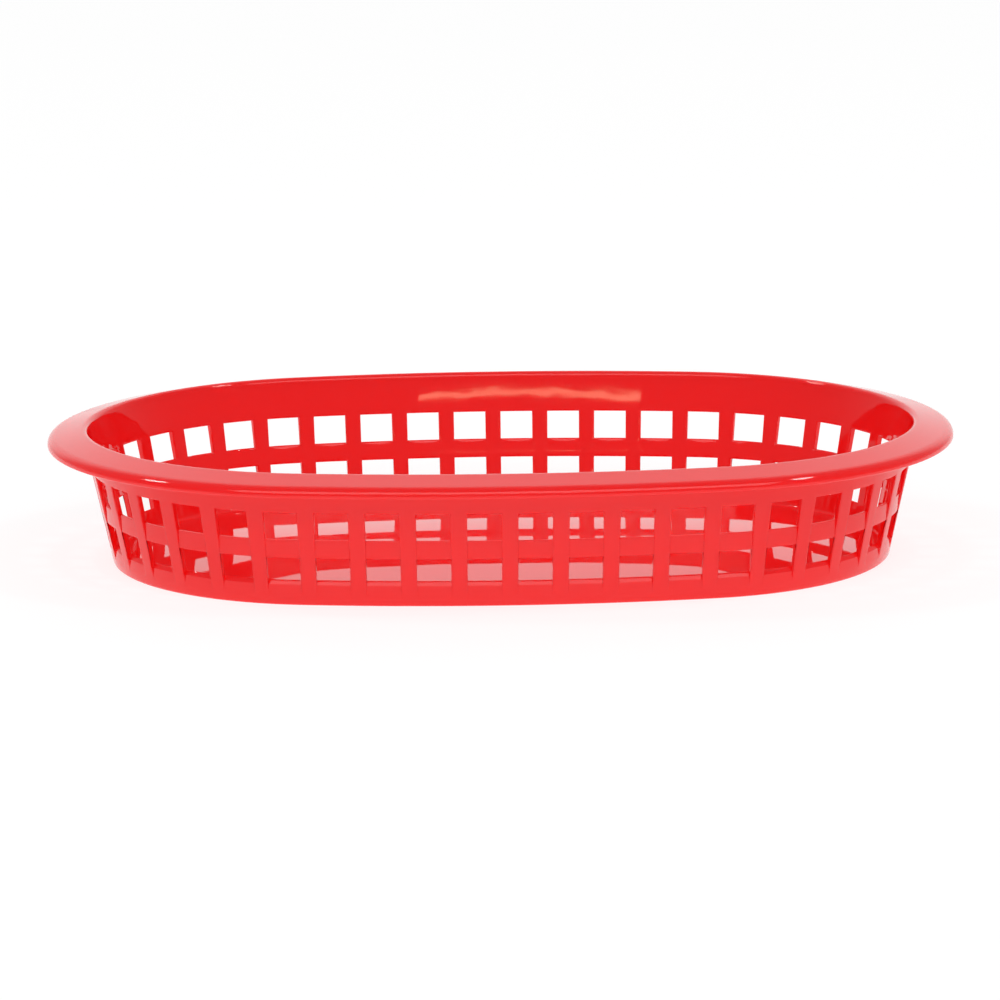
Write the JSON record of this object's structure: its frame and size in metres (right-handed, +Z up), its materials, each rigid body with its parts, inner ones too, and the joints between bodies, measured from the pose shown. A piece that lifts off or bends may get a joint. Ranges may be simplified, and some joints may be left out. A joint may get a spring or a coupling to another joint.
{
  "type": "serving basket",
  "caption": "Shallow oval open-weave serving basket in one moulding, with a wide sloping rim, a windowed wall and a closed base.",
  "frame": {"origin": "on the surface the basket stands on, under the centre of the oval", "axes": "+X along the long axis of the oval, +Y across it, +Z up out of the open mouth"},
  "size_m": [0.2666, 0.1778, 0.04],
  "materials": {
    "red_plastic": "satin red polypropylene, faintly translucent where thin"
  },
  "bodies": {
    "root": {"basket": "red_plastic"}
  },
  "joints": []
}
